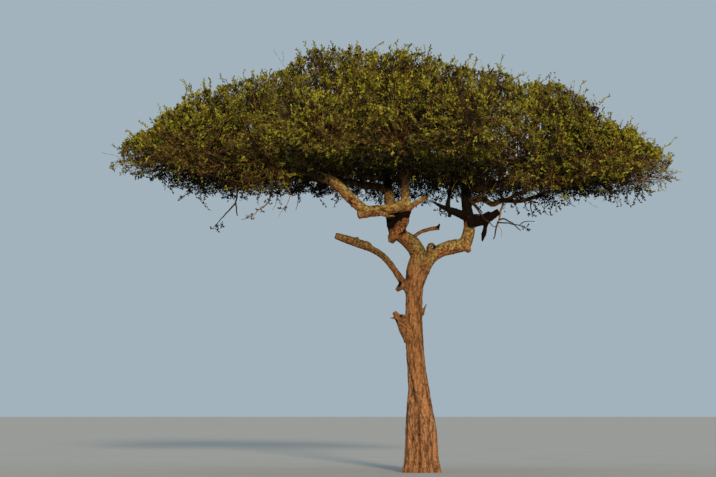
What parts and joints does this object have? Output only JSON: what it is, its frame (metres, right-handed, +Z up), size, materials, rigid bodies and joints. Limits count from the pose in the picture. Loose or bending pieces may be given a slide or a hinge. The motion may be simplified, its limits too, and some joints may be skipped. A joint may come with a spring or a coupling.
{
  "type": "desert date tree",
  "caption": "Wide-crowned desert date tree: a leaning trunk with a flared foot, forking limbs with dead stubs, and a dense flat-based dome of foliage.",
  "frame": {"origin": "middle of the flat cut at the foot of the trunk, at ground level", "axes": "+Z up along the height, +X to the viewer's right across the widest part of the crown, +Y away from the viewer"},
  "size_m": [11.8574, 10.2997, 8.974],
  "materials": {
    "bark_low": "rough furrowed reddish-brown bark",
    "bark_high": "mottled yellow-grey limb bark",
    "dead_wood": "weathered dead wood, bark partly gone",
    "foliage": "small leathery leaves on thin twigs"
  },
  "bodies": {
    "root": {"back_riser": "bark_high", "bough_middle_1": "bark_high", "bough_middle_2": "bark_high", "bough_middle_3": "bark_high", "bough_middle_4": "bark_high", "bough_middle_5": "bark_high", "bough_middle_6": "bark_high", "bough_outer_1": "bark_high", "bough_outer_10": "bark_high", "bough_outer_2": "bark_high", "bough_outer_3": "bark_high", "bough_outer_4": "bark_high", "bough_outer_5": "bark_high", "bough_outer_6": "bark_high", "bough_outer_7": "bark_high", "bough_outer_8": "bark_high", "bough_outer_9": "bark_high", "bough_top_1": "bark_high", "bough_top_2": "bark_high", "bough_top_3": "bark_high", "crossing_limb": "bark_high", "crossing_stub": "dead_wood", "curled_stub": "dead_wood", "dead_limb": "dead_wood", "foliage_middle_1": "foliage", "foliage_middle_2": "foliage", "foliage_middle_3": "foliage", "foliage_middle_4": "foliage", "foliage_middle_5": "foliage", "foliage_middle_6": "foliage", "foliage_outer_1": "foliage", "foliage_outer_10": "foliage", "foliage_outer_2": "foliage", "foliage_outer_3": "foliage", "foliage_outer_4": "foliage", "foliage_outer_5": "foliage", "foliage_outer_6": "foliage", "foliage_outer_7": "foliage", "foliage_outer_8": "foliage", "foliage_outer_9": "foliage", "foliage_top_1": "foliage", "foliage_top_2": "foliage", "foliage_top_3": "foliage", "front_riser": "bark_high", "front_upright": "bark_high", "hanging_branch_left": "dead_wood", "hanging_branch_right": "dead_wood", "inner_spur": "bark_high", "leader": "bark_high", "leader_stub": "dead_wood", "left_limb": "bark_high", "low_stub": "dead_wood", "right_limb": "bark_high", "right_long_bough": "bark_high", "right_spur": "bark_high", "right_upright": "bark_high", "trunk": "bark_low"}
  },
  "joints": []
}
